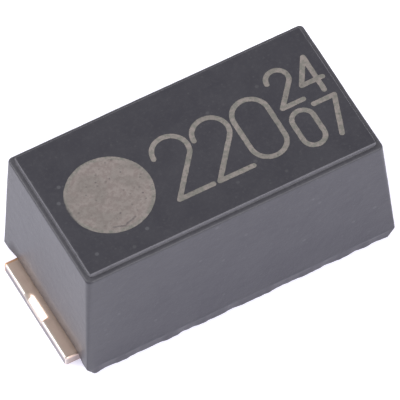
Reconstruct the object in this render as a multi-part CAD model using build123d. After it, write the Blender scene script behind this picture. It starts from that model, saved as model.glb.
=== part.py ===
from build123d import *
import os
from math import asin, atan2, cos, degrees, hypot, sin, sqrt

# A face-down moulded tantalum chip capacitor in the 3.2 by 1.6 mm size.
# Millimetres. The origin is the middle of the base, +X runs from the marked anode end
# to the cathode end, and +Z is up.

# Moulded case. Its outline is widest at the parting line, which is level with the top
# of the lead frame, and it leans in above and below that line. Its upright edges grow rounder
# from there up to the shoulder, round which a ledge runs.
case_length = 3.14
case_width = 1.60
case_height = 1.46
end_draft = 0.077
side_draft = 0.032
base_end_inset = 0.071
base_side_inset = 0.020
corner_radius = 0.015
shoulder_radius = 0.045
ledge_width = 0.05
ledge_drop = 0.045

# Lead frame: one terminal at each end, flush with the base. The anode's reaches out further.
lead_thickness = 0.11
terminal_width = 1.18
anode_reach = 0.11
cathode_reach = 0.06
pad_cover = 0.69
recess_width = 0.305
recess_margin = 0.03
recess_lip = 0.06
recess_offset = 0.025
tongue_thickness = 0.06
tongue_gap = 0.45
tongue_margin = 0.06

# Resin left round the capacitor element
top_wall = 0.22
side_wall = 0.19
cathode_wall = 0.24
anode_room = 0.86

# Element: the pellet and the layers over it
electrolyte_thickness = 0.04
carbon_thickness = 0.02
silver_thickness = 0.03
pellet_edge_radius = 0.06
carbon_setback = 0.11
silver_setback = 0.14
adhesive_thickness = 0.03
adhesive_margin = 0.05

# Anode connection
wire_diameter = 0.20
wire_cover = 0.50
wire_stub = 0.04
washer_diameter = 0.50
washer_thickness = 0.10
riser_length = 0.22
riser_width = 0.50
riser_wall = 0.22

# Burnt marks in the top: a disc at the anode end, three large digits and two rows of small ones
mark_depth = 0.02
disc_radius = 0.41
disc_from_middle = 0.89
disc_offset = -0.05
large_digits = "220"
large_digit_width = 0.34
large_digit_height = 0.66
large_digit_pitch = 0.405
large_digits_start = -0.37
large_digits_base = -0.40
upper_row = "24"
lower_row = "07"
small_digit_width = 0.21
small_digit_height = 0.40
small_digit_pitch = 0.265
small_digits_start = 0.89
upper_row_base = 0.01
lower_row_base = -0.48
stroke_width = 0.05

# Parts of a digit's own width or height, and of a turn
crossbar_share = 1 / 3
post_share = 3 / 4
foot_share = 1 / 3
half_turn = 180

# Levels and outlines that follow from the sizes above
parting_level = lead_thickness
ledge_level = case_height - ledge_drop
case_end = case_length / 2
pad_inner_end = case_end - pad_cover
tongue_tip = tongue_gap - pad_inner_end

element_start = anode_room - case_end
element_end = case_end - cathode_wall
element_bottom = lead_thickness + adhesive_thickness
element_top = case_height - top_wall
element_width = case_width - 2 * side_wall
wire_level = (element_bottom + element_top) / 2
wire_start = riser_wall - case_end - wire_stub


def block(x_low, x_high, width, z_low, z_high):
    """A square-edged block, centred on the XZ plane."""
    centred = Box(x_high - x_low, width, z_high - z_low)
    return Pos((x_low + x_high) / 2, 0, (z_low + z_high) / 2) * centred


def rod(x_low, x_high, diameter):
    """A round bar along the wire's axis."""
    along_x = Plane(origin=(x_low, 0, wire_level), z_dir=(1, 0, 0))
    return extrude(along_x * Circle(diameter / 2), x_high - x_low)


def frustum(low, high):
    """A stretch of the case between two rounded outlines.

    Each is given by how far it is set in at the ends and the sides, its corner radius and its level.
    """
    outlines = [
        Plane.XY.offset(level)
        * RectangleRounded(case_length - 2 * end_inset, case_width - 2 * side_inset, radius)
        for end_inset, side_inset, radius, level in (low, high)
    ]
    return loft([outline.face() for outline in outlines], ruled=True)


def case_outside():
    """The moulded form with nothing in it: foot, drafted body and raised top."""
    base_outline = (base_end_inset, base_side_inset, corner_radius, 0)
    parting_outline = (0, 0, corner_radius, parting_level)
    shoulder_outline = (end_draft, side_draft, shoulder_radius, ledge_level)
    top_outline = (end_draft + ledge_width, side_draft + ledge_width, corner_radius)
    foot = frustum(base_outline, parting_outline)
    body = frustum(parting_outline, shoulder_outline)
    raised_top = frustum((*top_outline, ledge_level), (*top_outline, case_height))
    return foot + body + raised_top


def element_layer(build_up, start):
    """The element's outline out to one layer, as a solid block that begins at start.

    build_up is how far that layer's surface stands off the bare pellet.
    """
    inset = electrolyte_thickness + carbon_thickness + silver_thickness - build_up
    face = element_start + electrolyte_thickness - build_up
    whole = block(
        face, element_end - inset, element_width - 2 * inset, element_bottom + inset, element_top - inset
    )
    rounded = fillet(whole.edges(), pellet_edge_radius + build_up)
    if start <= face:
        return rounded
    return rounded & block(start, case_end, case_width, 0, case_height)


def recess(reach):
    """What the scooped recess takes out of the outer top edge of a terminal at the +X end."""
    start = case_end + recess_margin
    end = case_end + reach
    clear_end = end + reach
    clear_level = lead_thickness + recess_lip
    profile = Plane.XZ * make_face(
        Polyline(
            (start, lead_thickness),
            (end, recess_lip),
            (clear_end, recess_lip),
            (clear_end, clear_level),
            (start, clear_level),
            close=True,
        )
    )
    return Pos(0, recess_offset, 0) * extrude(profile, recess_width / 2, both=True)


def pad(reach):
    """A terminal's pad at the +X end, with its recess. It sticks out past the case by reach."""
    plate = block(pad_inner_end, case_end + reach, terminal_width, 0, lead_thickness)
    return plate - recess(reach)


def anode_terminal():
    return mirror(pad(anode_reach), about=Plane.YZ)


def cathode_terminal():
    tongue_width = element_width - 2 * tongue_margin
    tongue = block(
        tongue_tip, pad_inner_end, tongue_width, lead_thickness - tongue_thickness, lead_thickness
    )
    return pad(cathode_reach) + tongue


def anode_wire():
    inner_end = element_end - wire_cover
    return rod(wire_start, inner_end, wire_diameter)


def anode_riser():
    """The post from the anode terminal up to the wire, with a groove that the wire lies in."""
    start = riser_wall - case_end
    post = block(start, start + riser_length, riser_width, lead_thickness, wire_level)
    return post - anode_wire()


def wire_washer():
    ring = rod(element_start - washer_thickness, element_start, washer_diameter)
    return ring - anode_wire()


def silver_adhesive():
    flat_margin = pellet_edge_radius + electrolyte_thickness + carbon_thickness + silver_thickness
    margin = flat_margin + adhesive_margin
    return block(
        tongue_tip + adhesive_margin,
        element_end - margin,
        element_width - 2 * margin,
        lead_thickness,
        element_bottom,
    )


def element_pieces():
    """The pellet and its three layers, each one cut round the layer inside it."""
    electrolyte_build = electrolyte_thickness
    carbon_build = electrolyte_build + carbon_thickness
    silver_build = carbon_build + silver_thickness
    pellet = element_layer(0, element_start)
    electrolyte = element_layer(electrolyte_build, element_start)
    carbon = element_layer(carbon_build, element_start + carbon_setback)
    silver = element_layer(silver_build, element_start + silver_setback)
    wire = anode_wire()
    pieces = {
        "tantalum_pellet": pellet - wire,
        "electrolyte_coat": electrolyte - pellet - wire,
        "carbon_coat": carbon - electrolyte,
        "silver_coat": silver - carbon - electrolyte,
    }
    return pieces, [electrolyte, carbon, silver]


def digit_path(digit, width, height):
    """The line that the laser follows for one digit, from its lower left corner."""
    bend = width / 2
    if digit == "0":
        left_side = Line((0, height - bend), (0, bend))
        right_side = Line((width, bend), (width, height - bend))
        foot = CenterArc((bend, bend), bend, half_turn, half_turn)
        head = CenterArc((bend, height - bend), bend, 0, half_turn)
        return [left_side, foot, right_side, head]
    if digit == "2":
        middle = (bend, height - bend)
        away = hypot(*middle)
        slope = atan2(middle[1], middle[0]) - asin(bend / away)
        reach = sqrt(away**2 - bend**2)
        touch = (reach * cos(slope), reach * sin(slope))
        turn_end = degrees(atan2(touch[1] - middle[1], touch[0] - middle[0]))
        head = CenterArc(middle, bend, half_turn, turn_end - half_turn)
        return [head, Line(touch, (0, 0)), Line((0, 0), (width, 0))]
    if digit == "4":
        crossbar = height * crossbar_share
        post = width * post_share
        return [
            Line((post, 0), (post, height)),
            Line((post, height), (0, crossbar)),
            Line((0, crossbar), (width, crossbar)),
        ]
    if digit == "7":
        return [Line((0, height), (width, height)), Line((width, height), (width * foot_share, 0))]
    raise ValueError(f"no stroke is drawn for {digit}")


def digit_face(digit, width, height):
    """One digit as a flat shape: its line, drawn with a round tip."""
    strokes = [
        make_face(offset(Wire([line.edge()]), stroke_width / 2, side=Side.BOTH, kind=Kind.ARC))
        for line in digit_path(digit, width, height)
    ]
    shape = strokes[0]
    for stroke in strokes[1:]:
        shape += stroke
    return shape


def burnt(shape, x, y):
    """A flat shape as a burnt skin, sunk into the top at (x, y)."""
    return Pos(x, y, case_height - mark_depth) * extrude(shape, mark_depth)


def digit_row(text, start, base, pitch, width, height):
    return [
        burnt(digit_face(digit, width, height), start + place * pitch, base)
        for place, digit in enumerate(text)
    ]


def marks():
    large = digit_row(
        large_digits,
        large_digits_start,
        large_digits_base,
        large_digit_pitch,
        large_digit_width,
        large_digit_height,
    )
    small = []
    for text, base in ((upper_row, upper_row_base), (lower_row, lower_row_base)):
        small += digit_row(
            text,
            small_digits_start,
            base,
            small_digit_pitch,
            small_digit_width,
            small_digit_height,
        )
    return {
        "polarity_mark": [burnt(Circle(disc_radius), -disc_from_middle, disc_offset)],
        "value_digits": large,
        "rating_digits": small,
    }


def build():
    buried = {
        "anode_terminal": anode_terminal(),
        "cathode_terminal": cathode_terminal(),
        "anode_riser": anode_riser(),
        "anode_wire": anode_wire(),
        "wire_washer": wire_washer(),
        "silver_adhesive": silver_adhesive(),
    }
    layers, filled_layers = element_pieces()
    case = case_outside()
    for solid in [*buried.values(), *filled_layers]:
        case -= solid
    pieces = {**buried, **layers}
    for name, group in marks().items():
        for mark in group:
            case -= mark
        pieces[name] = Compound(children=[mark.solid() for mark in group])
    pieces["case"] = case
    return pieces


os.makedirs("parts", exist_ok=True)
for name, shape in build().items():
    export_step(shape, f"parts/{name}.step")
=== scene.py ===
import math

import bmesh
import bpy
import numpy as np
from mathutils import Matrix, Vector, geometry, noise


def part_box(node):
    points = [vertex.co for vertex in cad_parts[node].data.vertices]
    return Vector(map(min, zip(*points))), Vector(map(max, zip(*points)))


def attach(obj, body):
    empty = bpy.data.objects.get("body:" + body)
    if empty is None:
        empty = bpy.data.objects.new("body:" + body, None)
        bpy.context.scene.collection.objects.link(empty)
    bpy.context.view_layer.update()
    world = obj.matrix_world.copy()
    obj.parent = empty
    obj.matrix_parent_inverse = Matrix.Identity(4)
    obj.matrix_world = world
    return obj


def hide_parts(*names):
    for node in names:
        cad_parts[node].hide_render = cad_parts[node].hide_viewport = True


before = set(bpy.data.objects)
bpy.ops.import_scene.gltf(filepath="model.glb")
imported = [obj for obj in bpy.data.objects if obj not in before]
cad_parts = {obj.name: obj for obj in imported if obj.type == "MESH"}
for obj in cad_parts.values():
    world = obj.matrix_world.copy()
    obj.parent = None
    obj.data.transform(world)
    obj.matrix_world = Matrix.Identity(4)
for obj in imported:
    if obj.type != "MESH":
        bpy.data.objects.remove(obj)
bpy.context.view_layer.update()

# A moulded tantalum chip capacitor: a stepped epoxy case with burnt marks on top, two plated
# terminals under it and the capacitor element inside. Metres, in the frame of the solid model.
MM = 0.001
MICRON = 0.000001

# Points within weld_distance become one. What a cut leaves under shortest_edge is closed up.
weld_distance = 0.01 * MICRON
shortest_edge = 0.3 * MICRON

case_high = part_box("case")[1]
anode_low, anode_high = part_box("anode_terminal")
parting_level = anode_high.z
plate_side = anode_high.y
plate_inner_end = -anode_high.x

# Case
end_draft = 0.077 * MM
side_draft = 0.032 * MM
base_end_inset = 0.071 * MM
base_side_inset = 0.020 * MM
corner_radius = 0.013 * MM
shoulder_radius = 0.045 * MM
ledge_width = 0.05 * MM
ledge_drop = 0.045 * MM
base_rounding = 0.010 * MM
parting_rounding = 0.012 * MM
ledge_edge_rounding = 0.024 * MM
ledge_foot_rounding = 0.010 * MM
top_edge_rounding = 0.014 * MM
skin_spacing = 0.020 * MM
cap_spacing = 0.034 * MM
corner_steps = 5
rounding_steps = 5
ledge_level = case_high.z - ledge_drop
top_end = end_draft + ledge_width
top_side = side_draft + ledge_width

# Its moulded surface, its wear and the painted shade at the plates' seams
grain_depth = 0.9 * MICRON
grain_pitch = 0.08 * MM
fine_grain_share = 0.5
fine_grain_ratio = 2.3
sink_depth = 3.0 * MICRON
sink_pitch = 0.70 * MM
flash_reach = 0.016 * MM
end_flash = 0.3
flash_pitch = 0.16 * MM
flash_middle = 0.6
flash_swing = 0.4
scallop_steepness = 4
fine_flash_ratio = 3.1
parting_fin = 0.002 * MM
fin_middle = 0.4
fin_ratio = 1.7
chip_depth = 0.006 * MM
chip_pitch = 0.06 * MM
wear_width = 0.012 * MM
ledge_wear = 0.50
# How high the painted shade at each plate's seam reaches up the case's end; the end is set back over the
# same height.
seam_shade_height = 0.24 * MM
seam_setback = 0.019 * MM
crevice_height = 0.005 * MM
crevice_depth = 0.024 * MM
cut_clearance = 0.003 * MM
cut_margin = 0.10 * MM

# Stray dots that the laser left on the top, in millimetres
stray_dots = ((-1.245, 0.242), (-1.326, 0.088), (-0.767, -0.529), (-1.281, -0.550))
stray_dot_size = 0.024
stray_dot_strength = 0.3

# Terminals
plate_corner = 0.020 * MM
plate_top_rounding = 0.026 * MM
plate_base_rounding = 0.012 * MM
plate_spacing = 0.011 * MM
plate_ripple = 1.2 * MICRON
ripple_pitch = 0.09 * MM
recess_width = 0.305 * MM
recess_margin = 0.028 * MM
recess_offset = 0.025 * MM
recess_lip = 0.058 * MM
recess_curve = 1.5
recess_near_corner = 0.012 * MM
recess_far_corner = 0.060 * MM
recess_near_wall = 0.010 * MM
recess_far_wall = 0.030 * MM
# How much of the grey the plate's sides take, next to its outer end.
side_grey_share = 0.6
# How far the painted shade on each plate reaches out from the case.
plate_shade_width = 0.020 * MM
tongue_thickness = 0.06 * MM
tongue_half_width = 0.55 * MM

# Burnt marks
burn_step = 0.009 * MM
burn_rise = 2.4 * MICRON
burn_shoulder = 0.010 * MM
burn_core = 0.070 * MM
burn_grain = 1.3 * MICRON
burn_raggedness = 0.0035 * MM
ragged_pitch = 0.05 * MM
wander_seed = 1
disc_sides = 180
facing_up = 0.9
pit_core = 0.003 * MM
pit_radius = 0.021 * MM
pit_strength = 0.7
pit_places = (
    (0.080, 0.152),
    (-0.046, 0.177),
    (0.199, 0.168),
    (-0.184, 0.097),
    (-0.007, -0.219),
    (0.269, -0.124),
    (0.266, -0.192),
)
smear_core = 0.002 * MM
smear_width = 0.026 * MM
smear_strength = 0.65
smear_ends = (((-0.014, -0.349), (0.094, -0.317)), ((-0.130, -0.322), (-0.029, -0.359)))
fade_width = 0.07 * MM
fade_strength = 0.65

# View and light
view_azimuth = -25.927
view_elevation = 56.153
view_roll = -2.849
view_aim = Vector((0.0086, -0.0287, 0.6932)) * MM
view_distance = 93.6 * MM
view_width = 3.577 * MM
room_strength = 0.6
floor_glow = 0.5
softbox_distance = 300 * MM
softbox_size = 200 * MM
floor_half_width = 450 * MM


class Signal:
    """What one socket of a finish gives, so that sums on it are written as plain Python."""

    def __init__(self, finish, socket):
        self.finish = finish
        self.socket = socket

    def maths(self, operation, first, second):
        return self.finish.node("ShaderNodeMath", {"operation": operation}, {0: first, 1: second})

    def __add__(self, other):
        return self.maths("ADD", self, other)

    def __radd__(self, other):
        return self.maths("ADD", other, self)

    def __sub__(self, other):
        return self.maths("SUBTRACT", self, other)

    def __rsub__(self, other):
        return self.maths("SUBTRACT", other, self)

    def __mul__(self, other):
        return self.maths("MULTIPLY", self, other)

    def __rmul__(self, other):
        return self.maths("MULTIPLY", other, self)


class Finish:
    """One surface finish, made of shader nodes."""

    def __init__(self, name):
        self.material = bpy.data.materials.new(name)
        self.material.use_nodes = True
        self.tree = self.material.node_tree
        self.tree.nodes.clear()

    def node(self, kind, settings=None, sockets=None, output=0):
        """Adds a node: its settings first, then the value or the link of each socket."""
        made = self.tree.nodes.new(kind)
        for name, value in (settings or {}).items():
            setattr(made, name, value)
        for key, value in (sockets or {}).items():
            if isinstance(value, Signal):
                self.tree.links.new(value.socket, made.inputs[key])
            else:
                made.inputs[key].default_value = value
        if made.outputs:
            return Signal(self, made.outputs[output])

    def place(self):
        """Where a point lies on the part, in millimetres."""
        metres = self.node("ShaderNodeTexCoord", output="Object")
        return self.node("ShaderNodeVectorMath", {"operation": "SCALE"}, {0: metres, "Scale": 1 / MM})

    def stretch(self, place, scale):
        return self.node("ShaderNodeVectorMath", {"operation": "MULTIPLY"}, {0: place, 1: scale})

    def cloud(self, place, per_mm, detail=2.0, roughness=0.5):
        """Soft noise from 0 to 1, with about per_mm swells in a millimetre."""
        sockets = {"Vector": place, "Scale": per_mm, "Detail": detail, "Roughness": roughness}
        return self.node("ShaderNodeTexNoise", sockets=sockets)

    def ramp(self, value, low, high):
        """0 where the value is under low, 1 where it is over high, and smooth in between."""
        sockets = {"Value": value, "From Min": low, "From Max": high}
        return self.node("ShaderNodeMapRange", {"interpolation_type": "SMOOTHSTEP"}, sockets)

    def dots(self, place, per_mm, size):
        """1 in small round dots of that radius in millimetres, one in each cell, and 0 round them."""
        distance = self.node("ShaderNodeTexVoronoi", sockets={"Vector": place, "Scale": per_mm})
        return 1 - self.ramp(distance, size * per_mm / 2, size * per_mm)

    def spot(self, place, centre, size):
        """1 inside a soft round spot at centre, and 0 outside it."""
        settings = {"operation": "DISTANCE"}
        distance = self.node("ShaderNodeVectorMath", settings, {0: place, 1: centre}, output=1)
        return 1 - self.ramp(distance, size / 2, size)

    def mix(self, share, under, over):
        """The colour under, covered by the one over as far as share says."""
        return self.node("ShaderNodeMix", {"data_type": "RGBA"}, {0: share, 6: under, 7: over}, output=2)

    def mask(self, name):
        """A mask that the mesh carries at each of its points."""
        return self.node("ShaderNodeAttribute", {"attribute_name": name}, output="Fac")

    def close(self, colour, roughness, height, **fixed):
        """Puts the surface together. The height is in microns."""
        relief = {"Height": height, "Distance": MICRON, "Strength": 1.0}
        normal = self.node("ShaderNodeBump", sockets=relief)
        sockets = {"Base Color": colour, "Roughness": roughness, "Normal": normal}
        sockets.update({name.replace("_", " "): value for name, value in fixed.items()})
        surface = self.node("ShaderNodeBsdfPrincipled", sockets=sockets)
        self.node("ShaderNodeOutputMaterial", sockets={"Surface": surface})
        return self.material


def rgb(red, green, blue):
    return (red, green, blue, 1.0)


def moulding_compound():
    """Matte black-grey epoxy. Its mineral filler shows as pale specks, and most on the worn edges."""
    finish = Finish("moulding_compound")
    place = finish.place()
    worn = finish.mask("worn")
    patches = finish.cloud(place, 4.0, 4.0)
    grain = finish.cloud(place, 34.0, 3.0, 0.6)
    dust = finish.cloud(place, 95.0, 2.0)
    filler = finish.dots(place, 5.0, 0.024)
    fine_filler = finish.dots(place, 13.0, 0.013)
    painted_seam_shade = finish.mask("painted_seam_shade")
    scuffed = finish.ramp(worn * (0.75 + 0.4 * grain), 0.15, 0.95)
    dark, light = rgb(0.0235, 0.022, 0.033), rgb(0.0305, 0.029, 0.040)
    colour = finish.mix(finish.ramp(patches, 0.3, 0.7), dark, light)
    colour = finish.mix(finish.ramp(grain, 0.45, 0.75) * 0.4, colour, rgb(0.048, 0.046, 0.056))
    colour = finish.mix(filler * 0.16, colour, rgb(0.15, 0.15, 0.155))
    colour = finish.mix(fine_filler * 0.16, colour, rgb(0.10, 0.10, 0.105))
    colour = finish.mix(scuffed * 0.75, colour, rgb(0.155, 0.150, 0.170))
    for x, y in stray_dots:
        burnt = finish.spot(place, (x, y, case_high.z / MM), stray_dot_size)
        colour = finish.mix(burnt * stray_dot_strength, colour, rgb(0.16, 0.16, 0.175))
    # Painted shade: a dark brown band up the case's end where a plate comes out.
    colour = finish.mix(painted_seam_shade * 0.7, colour, rgb(0.056, 0.043, 0.042))
    roughness = 0.28 + 0.12 * grain + 0.06 * patches + 0.25 * worn + 0.28 * painted_seam_shade
    height = 1.2 * grain + 0.7 * dust + 0.6 * filler
    return finish.close(colour, roughness, height, IOR=1.60)


def burnt_mark():
    """Epoxy skin, pale and foamy from the marking laser: pinkish in a broad burn, greyer at its rim."""
    finish = Finish("burnt_mark")
    place = finish.place()
    froth = finish.cloud(place, 22.0, 4.0, 0.7)
    blotches = finish.cloud(place, 5.0, 2.0)
    bubbles = finish.dots(place, 14.0, 0.014)
    cover = finish.ramp(finish.mask("burn") + 0.35 * froth, 0.25, 0.85)
    core = finish.ramp(finish.mask("core") + 0.5 * blotches, 0.45, 0.95)
    pale = finish.mix(core, rgb(0.172, 0.168, 0.152), rgb(0.212, 0.176, 0.168))
    pale = finish.mix(finish.ramp(froth, 0.38, 0.62), pale, rgb(0.262, 0.228, 0.217))
    pale = finish.mix(finish.ramp(blotches, 0.4, 0.65) * 0.4, pale, rgb(0.160, 0.150, 0.138))
    spent = finish.mix(bubbles * 0.4, pale, rgb(0.085, 0.078, 0.075))
    colour = finish.mix(cover, rgb(0.0285, 0.027, 0.036), spent)
    roughness = 0.48 + 0.35 * cover
    height = 2.4 * froth - 1.5 * bubbles
    return finish.close(colour, roughness, height, IOR=1.45)


def plated_lead():
    """Matte tin over copper alloy: grey low on its outer end and sides, warm on its flat top, coppery
    where it is bare, and darkened by painted shade next to the case."""
    finish = Finish("plated_lead")
    place = finish.place()
    cloudy = finish.cloud(place, 7.0, 4.0)
    rolled = finish.cloud(finish.stretch(place, (5.0, 70.0, 30.0)), 1.0, 3.0)
    crystals = finish.cloud(place, 60.0, 2.0)
    grey_edge = finish.mask("grey_edge")
    bare = finish.ramp(finish.mask("bare") + 0.5 * cloudy, 0.6, 1.1)
    colour = finish.mix(cloudy, rgb(0.72, 0.62, 0.57), rgb(0.84, 0.76, 0.71))
    colour = finish.mix(finish.mask("tarnished"), colour, rgb(0.77, 0.60, 0.51))
    # Darker grey on the plate's outer end and, less, on its sides, below the rounded top edge.
    colour = finish.mix(grey_edge, colour, rgb(0.31, 0.293, 0.300))
    colour = finish.mix(bare, colour, rgb(0.78, 0.45, 0.27))
    # Painted shade: the plate darkens where it meets the case.
    colour = finish.mix(finish.mask("plate_seam_shade") * 0.1, colour, rgb(0.09, 0.065, 0.055))
    roughness = 0.24 + 0.14 * cloudy + 0.08 * rolled + 0.2 * grey_edge
    height = 0.5 * rolled + 0.35 * crystals
    return finish.close(colour, roughness, height, Metallic=1.0)


def sheared_metal():
    """The riser: bright sheet metal with the streaks of the shear down its sides."""
    finish = Finish("riser_metal")
    place = finish.place()
    streaks = finish.cloud(finish.stretch(place, (60.0, 60.0, 4.0)), 1.0, 3.0)
    colour = finish.mix(streaks, rgb(0.50, 0.48, 0.46), rgb(0.68, 0.66, 0.63))
    return finish.close(colour, 0.24 + 0.2 * streaks, 0.8 * streaks, Metallic=1.0)


def drawn_tantalum():
    """The wire: blue-grey, with fine die lines along it."""
    finish = Finish("tantalum_wire")
    place = finish.place()
    die_lines = finish.cloud(finish.stretch(place, (3.0, 90.0, 90.0)), 1.0, 2.0)
    colour = finish.mix(die_lines, rgb(0.28, 0.29, 0.34), rgb(0.38, 0.39, 0.43))
    return finish.close(colour, 0.3 + 0.15 * die_lines, 0.5 * die_lines, Metallic=1.0)


def fluoropolymer():
    """The washer: waxy and white."""
    finish = Finish("fluoropolymer")
    place = finish.place()
    haze = finish.cloud(place, 12.0, 3.0)
    colour = finish.mix(haze, rgb(0.80, 0.81, 0.82), rgb(0.88, 0.88, 0.87))
    return finish.close(colour, 0.34 + 0.1 * haze, 0.4 * haze, IOR=1.35)


def sintered_tantalum():
    """The pellet: pressed powder, porous and matte."""
    finish = Finish("sintered_tantalum")
    place = finish.place()
    powder = finish.cloud(place, 70.0, 4.0, 0.7)
    pores = finish.dots(place, 38.0, 0.006)
    colour = finish.mix(powder, rgb(0.09, 0.09, 0.10), rgb(0.19, 0.19, 0.20))
    colour = finish.mix(pores, colour, rgb(0.02, 0.02, 0.02))
    return finish.close(colour, 0.6 + 0.2 * powder, 4.0 * powder - 5.0 * pores, Metallic=0.7)


def solid_electrolyte():
    """The first coat: matte blue-black, built up in many dips."""
    finish = Finish("solid_electrolyte")
    place = finish.place()
    dips = finish.cloud(finish.stretch(place, (18.0, 5.0, 5.0)), 1.0, 4.0)
    crust = finish.cloud(place, 48.0, 3.0)
    colour = finish.mix(dips, rgb(0.008, 0.009, 0.015), rgb(0.018, 0.019, 0.027))
    return finish.close(colour, 0.7 + 0.15 * crust, 2.5 * crust + dips, IOR=1.5)


def graphite():
    """The second coat: soft black with a faint sheen."""
    finish = Finish("graphite")
    place = finish.place()
    flakes = finish.cloud(place, 55.0, 3.0)
    colour = finish.mix(flakes, rgb(0.022, 0.022, 0.023), rgb(0.042, 0.042, 0.043))
    return finish.close(colour, 0.42 + 0.2 * flakes, 1.2 * flakes, IOR=1.7)


def silver_paint():
    """The third coat: dipped silver, satin and a little wavy."""
    finish = Finish("silver_paint")
    place = finish.place()
    runs = finish.cloud(finish.stretch(place, (3.0, 9.0, 9.0)), 1.0, 3.0)
    flakes = finish.cloud(place, 80.0, 2.0)
    colour = finish.mix(runs, rgb(0.56, 0.55, 0.52), rgb(0.68, 0.67, 0.64))
    return finish.close(colour, 0.38 + 0.12 * flakes, 1.5 * runs + 0.6 * flakes, Metallic=1.0)


def silver_glue():
    """The paste between the silver and the terminal: duller than the paint."""
    finish = Finish("silver_glue")
    place = finish.place()
    lumps = finish.cloud(place, 26.0, 4.0)
    colour = finish.mix(lumps, rgb(0.40, 0.39, 0.37), rgb(0.56, 0.55, 0.52))
    return finish.close(colour, 0.5 + 0.15 * lumps, 3.0 * lumps, Metallic=0.9)


def studio_floor():
    """A white light table: the part casts next to no shadow on it, and its walls mirror it."""
    finish = Finish("studio_floor")
    place = finish.place()
    paper = finish.cloud(place, 3.0, 2.0)
    colour = finish.mix(paper, rgb(0.88, 0.88, 0.88), rgb(0.90, 0.90, 0.90))
    glow = {"Emission_Color": rgb(0.98, 0.95, 1.20), "Emission_Strength": floor_glow}
    return finish.close(colour, 0.9 + 0.05 * paper, 0.2 * paper, IOR=1.3, **glow)


def outline(half_x, half_y, radius, steps):
    """Points round a rounded rectangle, anticlockwise, with a fixed number on each side and bend."""
    along_x, along_y, bend = steps
    reach = min(radius, half_x, half_y)
    centres = [
        Vector((sign_x * (half_x - reach), sign_y * (half_y - reach)))
        for sign_x, sign_y in ((1, 1), (-1, 1), (-1, -1), (1, -1))
    ]
    points = []
    for quarter, centre in enumerate(centres):
        for step in range(bend):
            angle = (quarter + step / bend) * math.pi / 2
            points.append(centre + reach * Vector((math.cos(angle), math.sin(angle))))
        angle = (quarter + 1) * math.pi / 2
        outwards = reach * Vector((math.cos(angle), math.sin(angle)))
        start = centre + outwards
        stop = centres[(quarter + 1) % 4] + outwards
        count = along_y if quarter % 2 else along_x
        points += [start.lerp(stop, step / count) for step in range(count)]
    return points


def spread(start, stop, spacing):
    """Points from just after start up to stop, about spacing apart."""
    count = max(1, round((stop - start).length / spacing))
    return [start.lerp(stop, step / count) for step in range(1, count + 1)]


def rounded_line(corners):
    """A line of points through corners. Each corner is its point, the length that its rounding
    takes off both sides, and the spacing of the points that lead up to it."""
    line = [Vector(corners[0][0])]
    for number in range(1, len(corners)):
        corner, rounding, spacing = corners[number]
        corner = Vector(corner)
        if number == len(corners) - 1:
            return line + spread(line[-1], corner, spacing)
        start = corner + (Vector(corners[number - 1][0]) - corner).normalized() * rounding
        stop = corner + (Vector(corners[number + 1][0]) - corner).normalized() * rounding
        line += spread(line[-1], start, spacing)
        for step in range(1, rounding_steps + 1):
            share = step / rounding_steps
            line.append(start.lerp(corner, share).lerp(corner.lerp(stop, share), share))


def lofted(name, half_x, half_y, radius_at, line, spacing):
    """A closed form whose outline shrinks by the insets along the line: (end inset, side inset, level).
    Its corner radius is what radius_at gives for the level."""
    steps = (round(2 * half_x / spacing), round(2 * half_y / spacing), corner_steps)
    work = bmesh.new()
    rings = []
    for end_inset, side_inset, level in line:
        ring = outline(half_x - end_inset, half_y - side_inset, radius_at(level), steps)
        rings.append([work.verts.new((point.x, point.y, level)) for point in ring])
    for lower, upper in zip(rings, rings[1:]):
        for place in range(len(lower)):
            following = (place + 1) % len(lower)
            work.faces.new((lower[place], lower[following], upper[following], upper[place]))
    bmesh.ops.remove_doubles(work, verts=work.verts, dist=weld_distance)
    return placed(name, work)


def placed(name, work):
    """Turns a finished bmesh into an object in the scene."""
    mesh = bpy.data.meshes.new(name)
    work.to_mesh(mesh)
    work.free()
    made = bpy.data.objects.new(name, mesh)
    bpy.context.scene.collection.objects.link(made)
    return made


def point_normals(piece):
    """The normal at each point, read before any point is moved."""
    return [vertex.normal.copy() for vertex in piece.data.vertices]


def block(name, low, high):
    work = bmesh.new()
    bmesh.ops.create_cube(work, size=1.0)
    for vertex in work.verts:
        vertex.co = Vector(high if share > 0 else low for share, low, high in zip(vertex.co, low, high))
    return placed(name, work)


def cut(piece, cutter, operation="DIFFERENCE"):
    """Carves a piece with another, or joins it on, for good."""
    step = piece.modifiers.new(operation.lower(), "BOOLEAN")
    step.operation = operation
    step.solver = "MANIFOLD"
    step.object = cutter
    seen = piece.evaluated_get(bpy.context.evaluated_depsgraph_get())
    carved = bpy.data.meshes.new_from_object(seen)
    piece.modifiers.clear()
    piece.data = carved


def without_slivers(piece):
    """Closes up the very short edges that cuts leave, also inside their many-sided faces."""
    work = bmesh.new()
    work.from_mesh(piece.data)
    bmesh.ops.dissolve_degenerate(work, dist=shortest_edge, edges=work.edges)
    many_sided = [face for face in work.faces if len(face.verts) > 4]
    bmesh.ops.triangulate(work, faces=many_sided)
    bmesh.ops.dissolve_degenerate(work, dist=shortest_edge, edges=work.edges)
    work.to_mesh(piece.data)
    work.free()


def smooth(piece, sharp_above):
    """Smooth shading, apart from the edges that turn more than so many degrees. Large faces count
    for more, so that the slivers along a cut don't show. Normals from the solid model are dropped."""
    for layer in [layer for layer in piece.data.attributes if layer.name == "custom_normal"]:
        piece.data.attributes.remove(layer)
    piece.data.shade_smooth()
    piece.data.set_sharp_from_angle(angle=math.radians(sharp_above))
    piece.modifiers.new("weighted_normal", "WEIGHTED_NORMAL").keep_sharp = True


def dress(piece, body_slot, material, *nodes):
    """Gives a new piece its finish and its place on the frame."""
    piece.data.materials.clear()
    piece.data.materials.append(material)
    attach(piece, "root")
    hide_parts(*nodes)


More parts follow.
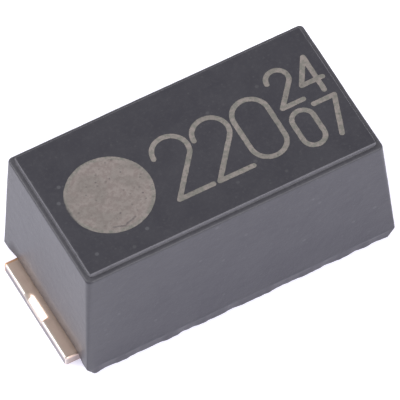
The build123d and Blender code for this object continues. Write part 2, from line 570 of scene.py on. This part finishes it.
def step_up(value, low, high):
    """0 under low, 1 over high, and smooth in between."""
    share = min(1.0, max(0.0, (value - low) / (high - low)))
    return share * share * (3 - 2 * share)


def mask_points(piece, name, share_at):
    """Writes a mask into a piece: what share_at gives for each of its points."""
    mask = piece.data.attributes.new(name, "FLOAT", "POINT")
    mask.data.foreach_set("value", [share_at(vertex.co) for vertex in piece.data.vertices])


def mould_relief(point):
    """How far the moulded surface stands off its ideal form there: spark-eroded grain over slow sink."""
    fine_grain = fine_grain_share * noise.noise(point * fine_grain_ratio / grain_pitch)
    grain = noise.noise(point / grain_pitch) + fine_grain
    return grain_depth * grain + sink_depth * noise.noise(point / sink_pitch)


def rim_wear(point):
    """How worn the case is there: 1 on the raised top's edge and riser, less on the ledge and
    0 away from them."""
    outwards = max(abs(point.x) - case_high.x + top_end, abs(point.y) - case_high.y + top_side)
    on_ledge = step_up(point.z, ledge_level - wear_width, ledge_level - wear_width / 4)
    on_riser = step_up(point.z, ledge_level, ledge_level + wear_width)
    share = ledge_wear * on_ledge + (1 - ledge_wear) * on_riser
    return share * step_up(outwards, -wear_width, -wear_width / 6)


def rim_chips(point):
    """How deep the raised top's edge is chipped there."""
    return chip_depth * rim_wear(point) * max(0.0, noise.noise(point / chip_pitch))


def seam_shade_and_setback(point):
    """How near the seam of a plate a point of the case's end lies: 1 at the seam, 0 away from it. The
    end is set back by it, and painted shade follows it.
    """
    above = max(0.0, point.z - parting_level)
    beside = max(0.0, abs(point.y) - plate_side)
    at_end = step_up(abs(point.x), case_high.x - seam_shade_height, case_high.x - seam_shade_height / 2)
    return at_end * (1 - min(1.0, math.hypot(above, 2 * beside) / seam_shade_height))


def off_edge(size, edge):
    """0 up to the edge, then rising to 1 over the corner radius, with the size's sign."""
    return math.copysign(min(1.0, max(0.0, (abs(size) - edge) / corner_radius)), size)


def resin_flash(point):
    """How far ragged flash moves a point of the foot and the parting line outwards, most of it
    along the sides."""
    sunk = max(0.0, 1 - point.z / parting_level)
    edge_x = case_high.x - base_end_inset * sunk - corner_radius
    edge_y = case_high.y - base_side_inset * sunk - corner_radius
    outwards = Vector((end_flash * off_edge(point.x, edge_x), off_edge(point.y, edge_y), 0.0))
    along = Vector((point.x, point.y, 0.0)) / flash_pitch
    scallops = flash_swing * math.tanh(scallop_steepness * noise.noise(along))
    nibbles = flash_swing * noise.noise(along * fine_flash_ratio)
    flash = flash_reach * (flash_middle + scallops + nibbles) * sunk
    fin = max(0.0, 1 - abs(point.z - parting_level) / (2 * parting_rounding))
    ragged_fin = fin * max(0.0, fin_middle + noise.noise(along * fin_ratio))
    return outwards * (flash + parting_fin * ragged_fin)


def case_corner(level):
    """The radius of the case's upright edges at a level: sharp at the foot, rounder up to the
    shoulder, and sharp again round the raised top."""
    if level > ledge_level + ledge_foot_rounding / 2:
        return corner_radius
    rise = max(0.0, level - parting_level) / (ledge_level - parting_level)
    return corner_radius + (shoulder_radius - corner_radius) * min(1.0, rise)


def case_form():
    """The moulded case with nothing in it yet. Each end is set back a little at the plate's seam."""
    base_half_depth = case_high.y - base_side_inset
    top_half_depth = case_high.y - top_side
    line = rounded_line((
        ((base_end_inset + base_half_depth, case_high.y, 0.0), 0.0, cap_spacing),
        ((base_end_inset, base_side_inset, 0.0), base_rounding, cap_spacing),
        ((0.0, 0.0, parting_level), parting_rounding, skin_spacing / 2),
        ((end_draft, side_draft, ledge_level), ledge_edge_rounding, skin_spacing),
        ((top_end, top_side, ledge_level), ledge_foot_rounding, skin_spacing / 2),
        ((top_end, top_side, case_high.z), top_edge_rounding, skin_spacing / 2),
        ((top_end + top_half_depth, case_high.y, case_high.z), 0.0, cap_spacing),
    ))
    form = lofted("moulded_case", case_high.x, case_high.y, case_corner, line, skin_spacing)
    for vertex, normal in zip(form.data.vertices, point_normals(form)):
        point = vertex.co
        moved = point + normal * (mould_relief(point) - rim_chips(point)) + resin_flash(point)
        setback = math.copysign(seam_setback * seam_shade_and_setback(point), point.x)
        vertex.co = (moved.x - setback, moved.y, max(0.0, moved.z))
    return form


def element_cavity():
    """The space in the case that the element, the riser and the inner ends of the plates fill."""
    work = bmesh.new()
    work.from_mesh(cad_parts["case"].data)
    bmesh.ops.remove_doubles(work, verts=work.verts, dist=weld_distance)
    solid_case = placed("solid_case", work)
    inner_end = case_high.x - cut_margin
    inner_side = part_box("cathode_terminal")[1].y + cut_margin / 2
    low = (-inner_end, -inner_side, -cut_margin)
    high = (inner_end, inner_side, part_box("silver_coat")[1].z + cut_margin)
    cavity = block("cavity", low, high)
    cut(cavity, solid_case)
    bpy.data.objects.remove(solid_case)
    return cavity


def plate_notch(side):
    """The gap in the case's end that a plate comes out of, with the crevice over it."""
    half_width = plate_side + cut_clearance
    inner = case_high.x - 2 * cut_margin
    outer = -anode_low.x + cut_margin
    profile = (
        (inner, -cut_margin),
        (outer, -cut_margin),
        (outer, parting_level + crevice_height),
        (case_high.x, parting_level + crevice_height),
        (case_high.x - crevice_depth, parting_level),
        (inner, parting_level),
    )
    work = bmesh.new()
    faces = [
        work.faces.new([work.verts.new((side * x, y, z)) for x, z in profile])
        for y in (-half_width, half_width)
    ]
    for place in range(len(profile)):
        following = (place + 1) % len(profile)
        near, far = faces[0].verts, faces[1].verts
        work.faces.new((near[place], near[following], far[following], far[place]))
    bmesh.ops.recalc_face_normals(work, faces=work.faces)
    return placed("notch", work)


def mark_pocket(mark):
    """What a burnt mark takes out of the case: its own form, but right through the top."""
    pocket = bpy.data.objects.new("pocket", mark.data.copy())
    bpy.context.scene.collection.objects.link(pocket)
    for vertex in pocket.data.vertices:
        if vertex.co.z > case_high.z - burn_shoulder:
            vertex.co.z += burn_shoulder
    return pocket


def moulded_case(burnt_marks):
    case = case_form()
    pockets = [mark_pocket(mark) for mark in burnt_marks]
    for cutter in (element_cavity(), plate_notch(1), plate_notch(-1), *pockets):
        cut(case, cutter)
        bpy.data.objects.remove(cutter)
    without_slivers(case)
    mask_points(case, "worn", rim_wear)
    # Where the painted shade at the plates' seams lies.
    mask_points(case, "painted_seam_shade", seam_shade_and_setback)
    smooth(case, sharp_above=45)
    dress(case, "moulding_compound", moulding_compound(), "case")


def recess_share(x, y, end):
    """How far into the scooped recess a point of a plate lies: 0 outside, 1 well inside."""
    depth = end - case_high.x - recess_margin
    far = step_up(y, recess_offset - recess_width / 4, recess_offset + recess_width / 4)
    corner = min(recess_near_corner + far * (recess_far_corner - recess_near_corner), depth)
    wall = recess_near_wall + far * (recess_far_wall - recess_near_wall)
    across = max(0.0, abs(y - recess_offset) - recess_width / 2 + corner)
    inwards = max(0.0, end - depth + corner - abs(x))
    away = math.hypot(across, inwards) - corner
    return 1 - step_up(away, -wall, wall)


def plate(name, node, side):
    """A terminal's plate at one end, with rounded edges and a scooped recess."""
    low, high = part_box(node)
    end = max(-low.x, high.x)
    half_x, half_y = (end - plate_inner_end) / 2, plate_side
    line = rounded_line((
        ((half_x, half_x, 0.0), 0.0, 2 * plate_spacing),
        ((0.0, 0.0, 0.0), plate_base_rounding, 2 * plate_spacing),
        ((0.0, 0.0, parting_level), plate_top_rounding, plate_spacing),
        ((half_x, half_x, parting_level), 0.0, plate_spacing * 1.5),
    ))
    made = lofted(name, half_x, half_y, lambda level: plate_corner, line, plate_spacing)
    middle = side * (end - half_x)
    recess_depth = end - case_high.x - recess_margin
    for vertex, normal in zip(made.data.vertices, point_normals(made)):
        x, y, z = vertex.co.x + middle, vertex.co.y, vertex.co.z
        ramp = min(1.0, max(0.0, 1 - (end - abs(x)) / recess_depth)) ** recess_curve
        scoop = (parting_level - recess_lip) / parting_level * recess_share(x, y, end) * ramp
        ripple = abs(noise.noise(Vector((x, y, z)) / ripple_pitch)) * plate_ripple
        vertex.co = Vector((x, y, z * (1 - scoop))) - ripple * normal
    return made


def finish_plate(piece, node, lead):
    """Masks a terminal's grey edges, tarnish, bare parts and painted shade, and gives it its finish."""
    low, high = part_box(node)
    end = max(-low.x, high.x)
    edge = plate_top_rounding / 2

    # Grey on the outer end and, less, on the sides, below the top edge.
    def grey_edge(point):
        at_end = step_up(abs(point.x) - end, -plate_ripple - edge / 4, -plate_ripple)
        at_side = step_up(abs(point.y) - plate_side, -plate_ripple - edge / 4, -plate_ripple)
        below_top = 1 - step_up(point.z, parting_level - 2.5 * edge, parting_level - edge)
        return below_top * max(at_end, side_grey_share * at_side)

    def tarnished(point):
        return 1 - step_up(abs(point.x) - end, -3 * edge, -edge)

    def bare(point):
        share = recess_share(point.x, point.y, end)
        near_side = 1 - step_up(point.y, recess_offset - recess_width / 2, recess_offset)
        far_corner = step_up(point.y, plate_side - 4 * edge, plate_side - edge)
        return max(4 * share * (1 - share) * near_side, far_corner)

    # Painted shade on the plate next to the case.
    def plate_seam_shade(point):
        return 1 - step_up(abs(point.x) - case_high.x, 0.0, plate_shade_width)

    masks = {"grey_edge": grey_edge, "tarnished": tarnished, "bare": bare, "plate_seam_shade": plate_seam_shade}
    for name, share_at in masks.items():
        mask_points(piece, name, share_at)
    smooth(piece, sharp_above=60)
    dress(piece, "plated_lead", lead, node)


def cathode_plate():
    """The plate at the unmarked end, with the thin tongue that reaches under the element."""
    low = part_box("cathode_terminal")[0]
    made = plate("cathode_plate", "cathode_terminal", 1)
    tongue = block(
        "tongue",
        (low.x, -tongue_half_width, parting_level - tongue_thickness),
        (plate_inner_end + cut_margin, tongue_half_width, parting_level),
    )
    cut(made, tongue, "UNION")
    bpy.data.objects.remove(tongue)
    return made


def digit_edges(node):
    """The outlines of a burnt node's flat tops: the (start, end) of each of their edges."""
    work = bmesh.new()
    work.from_mesh(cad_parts[node].data)
    bmesh.ops.remove_doubles(work, verts=work.verts, dist=weld_distance)
    edges = [
        [tuple(vertex.co.xy) for vertex in edge.verts]
        for edge in work.edges
        if sorted(face.normal.z > facing_up for face in edge.link_faces) == [False, True]
    ]
    work.free()
    return np.array(edges)


def disc_edges(node):
    """The disc's outline, as round as its place in the solid model allows."""
    low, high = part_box(node)
    turns = np.linspace(0, math.tau, disc_sides, endpoint=False)
    radius = (high.x - low.x) / 2
    middle = np.array(((low.x + high.x) / 2, (low.y + high.y) / 2))
    points = middle + radius * np.stack((np.cos(turns), np.sin(turns)), axis=1)
    return np.stack((points, np.roll(points, -1, axis=0)), axis=1)


def ragged(edges):
    """The same outline in short steps that wander a little."""
    steps = []
    for start, stop in edges:
        count = math.ceil(np.linalg.norm(stop - start) / burn_step)
        line = start + np.linspace(0, 1, count + 1)[:, None] * (stop - start)
        wander = [noise.noise_vector(Vector((x, y, 0.0)) / ragged_pitch).xy for x, y in line]
        line += burn_raggedness * np.array(wander)
        steps.append(np.stack((line[:-1], line[1:]), axis=1))
    return np.concatenate(steps)


def inside_outline(points, edges):
    """Which points lie inside the outline: a line from each to the right crosses it an odd number
    of times."""
    start, span = edges[:, 0], edges[:, 1] - edges[:, 0]
    level = (points[:, None, 1] - start[:, 1]) / np.where(span[:, 1] == 0, 1, span[:, 1])
    straddles = (start[:, 1] > points[:, None, 1]) != (edges[:, 1, 1] > points[:, None, 1])
    crossings = (straddles & (points[:, None, 0] < start[:, 0] + level * span[:, 0])).sum(axis=1)
    return crossings % 2 == 1


def depth_in_outline(points, edges):
    """How far each point lies inside the outline. It is negative outside."""
    start, span = edges[:, 0], edges[:, 1] - edges[:, 0]
    reach = points[:, None] - start
    share = np.clip((reach * span).sum(-1) / (span**2).sum(-1), 0, 1)
    away = np.linalg.norm(reach - share[..., None] * span, axis=-1).min(axis=1)
    return np.where(inside_outline(points, edges), away, -away)


def triangulated(edges):
    """Even triangles inside a ragged outline: their corners, and how deep in each corner lies."""
    rim = ragged(edges)
    low, high = rim.min(axis=(0, 1)), rim.max(axis=(0, 1))
    rows = enumerate(np.arange(low[1], high[1], burn_step))
    columns = np.arange(low[0], high[0], burn_step)
    grid = np.array([(x + row % 2 * burn_step / 2, y) for row, y in rows for x in columns])
    inner = grid[depth_in_outline(grid, edges) > burn_step]
    corners = [Vector(point) / MM for point in (*rim.reshape(-1, 2), *inner)]
    links = [(start, start + 1) for start in range(0, 2 * len(rim), 2)]
    whole_hull = 0
    nearest = burn_step / MM / 1000
    flat, _, triangles, *_ = geometry.delaunay_2d_cdt(corners, links, [], whole_hull, nearest)
    points = np.array([tuple(point) for point in flat]) * MM
    kept = inside_outline(points[np.array(triangles)].mean(axis=1), rim)
    inside = [triangle for triangle, keep in zip(triangles, kept) if keep]
    return points, depth_in_outline(points, edges), inside


def burnt_skin(name, node, edges, flaws):
    """A thin burnt skin inside an outline, with a ragged edge and a foamed top."""
    low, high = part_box(node)
    points, depth, triangles = triangulated(edges)
    burns = [
        step_up(inside, -burn_shoulder, burn_shoulder) * (1 - flaws(x, y))
        for (x, y), inside in zip(points, depth)
    ]
    work = bmesh.new()
    upper = []
    for (x, y), burn in zip(points, burns):
        ground = high.z + mould_relief(Vector((x, y, high.z)))
        froth = burn_grain * noise.noise(Vector((x, y, 0.0)) / (3 * burn_step))
        upper.append(work.verts.new((x, y, ground + burn * (burn_rise + froth))))
    lower = [work.verts.new((x, y, low.z)) for x, y in points]
    sides = set()
    for triangle in triangles:
        work.faces.new([upper[corner] for corner in triangle])
        work.faces.new([lower[corner] for corner in reversed(triangle)])
        sides.update(zip(triangle, triangle[1:] + triangle[:1]))
    for start, stop in sorted(sides):
        if (stop, start) not in sides:
            work.faces.new((lower[start], lower[stop], upper[stop], upper[start]))
    cores = [step_up(inside, 0.0, burn_core) for inside in depth]
    made = placed(name, work)
    for mask, shares in (("burn", burns), ("core", cores)):
        made.data.attributes.new(mask, "FLOAT", "POINT").data.foreach_set("value", shares + shares)
    return made


def no_flaws(x, y):
    return 0.0


def disc_flaws(x, y):
    """The disc's dark pits, the smears low on its right and its faint left edge."""
    low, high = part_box("polarity_mark")
    here = Vector((x - (low.x + high.x) / 2, y - (low.y + high.y) / 2))
    flaw = fade_strength * (1 - step_up(x - low.x, 0.0, fade_width))
    for place in pit_places:
        away = (here - Vector(place) * MM).length
        flaw = max(flaw, pit_strength * (1 - step_up(away, pit_core, pit_radius)))
    for ends in smear_ends:
        start, stop = (Vector(point) * MM for point in ends)
        share = min(1.0, max(0.0, (here - start).dot(stop - start) / (stop - start).length_squared))
        away = (here - start.lerp(stop, share)).length
        flaw = max(flaw, smear_strength * (1 - step_up(away, smear_core, smear_width)))
    return flaw


def burnt_marks():
    """The polarity disc and the plain digits. Their edges wander the same way in each run."""
    noise.seed_set(wander_seed)
    disc = burnt_skin("polarity_disc", "polarity_mark", disc_edges("polarity_mark"), disc_flaws)
    marks = {"polarity_mark": disc}
    for node in ("value_digits", "rating_digits"):
        marks[node] = burnt_skin(f"burnt_{node}", node, digit_edges(node), no_flaws)
    return marks


def carry_over(node, material):
    """Gives a piece of the solid model that stays as it is its finish."""
    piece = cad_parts[node]
    piece.data.materials.clear()
    piece.data.materials.append(material)


def direction(azimuth, elevation):
    """The unit vector towards a place round the part. Azimuth 0 is the -Y side, and 90 the +X side."""
    turn, rise = math.radians(azimuth), math.radians(elevation)
    return Vector((math.sin(turn) * math.cos(rise), -math.cos(turn) * math.cos(rise), math.sin(rise)))


def softbox(name, azimuth, elevation, radiance):
    """A square soft light that faces the part, as bright as radiance says."""
    light = bpy.data.lights.new(name, "AREA")
    light.size = softbox_size
    light.energy = radiance * math.pi * softbox_size**2
    lamp = bpy.data.objects.new(name, light)
    towards = direction(azimuth, elevation)
    lamp.location = towards * softbox_distance
    lamp.rotation_euler = towards.to_track_quat("Z", "Y").to_euler()
    bpy.context.scene.collection.objects.link(lamp)


def studio():
    """A glowing white floor, an even pale room and two soft lights."""
    work = bmesh.new()
    half = floor_half_width
    corners = ((-half, -half), (half, -half), (half, half), (-half, half))
    work.faces.new([work.verts.new((x, y, -MICRON)) for x, y in corners])
    floor = placed("studio_floor", work)
    floor.data.materials.append(studio_floor())
    world = bpy.data.worlds.new("pale_room")
    world.use_nodes = True
    room = world.node_tree.nodes["Background"]
    room.inputs["Color"].default_value = rgb(1.0, 1.0, 1.0)
    room.inputs["Strength"].default_value = room_strength
    bpy.context.scene.world = world
    bpy.context.scene.view_settings.view_transform = "Standard"
    softbox("front_softbox", azimuth=20, elevation=30, radiance=4.0)
    softbox("left_softbox", azimuth=-130, elevation=40, radiance=4.0)


def camera():
    """The photograph's viewpoint: far off, high and a little to the left."""
    lens = bpy.data.cameras.new("camera")
    lens.lens = lens.sensor_width * view_distance / view_width
    lens.clip_start = view_distance / 10
    lens.clip_end = view_distance * 2
    eye = bpy.data.objects.new("camera", lens)
    back = direction(view_azimuth, view_elevation)
    turn = math.radians(view_azimuth)
    level_right = Vector((math.cos(turn), math.sin(turn), 0.0))
    right = Matrix.Rotation(math.radians(view_roll), 3, back) @ level_right
    facing = Matrix((right, back.cross(right), back)).transposed().to_4x4()
    eye.matrix_world = Matrix.Translation(view_aim + back * view_distance) @ facing
    bpy.context.scene.collection.objects.link(eye)
    bpy.context.scene.camera = eye


marks = burnt_marks()
moulded_case(list(marks.values()))
burn_finish = burnt_mark()
for node, mark in marks.items():
    smooth(mark, sharp_above=60)
    dress(mark, "burnt_mark", burn_finish, node)
lead = plated_lead()
finish_plate(plate("anode_plate", "anode_terminal", -1), "anode_terminal", lead)
finish_plate(cathode_plate(), "cathode_terminal", lead)
carry_over("anode_riser", sheared_metal())
carry_over("anode_wire", drawn_tantalum())
carry_over("wire_washer", fluoropolymer())
carry_over("tantalum_pellet", sintered_tantalum())
carry_over("electrolyte_coat", solid_electrolyte())
carry_over("carbon_coat", graphite())
carry_over("silver_coat", silver_paint())
carry_over("silver_adhesive", silver_glue())
studio()
camera()
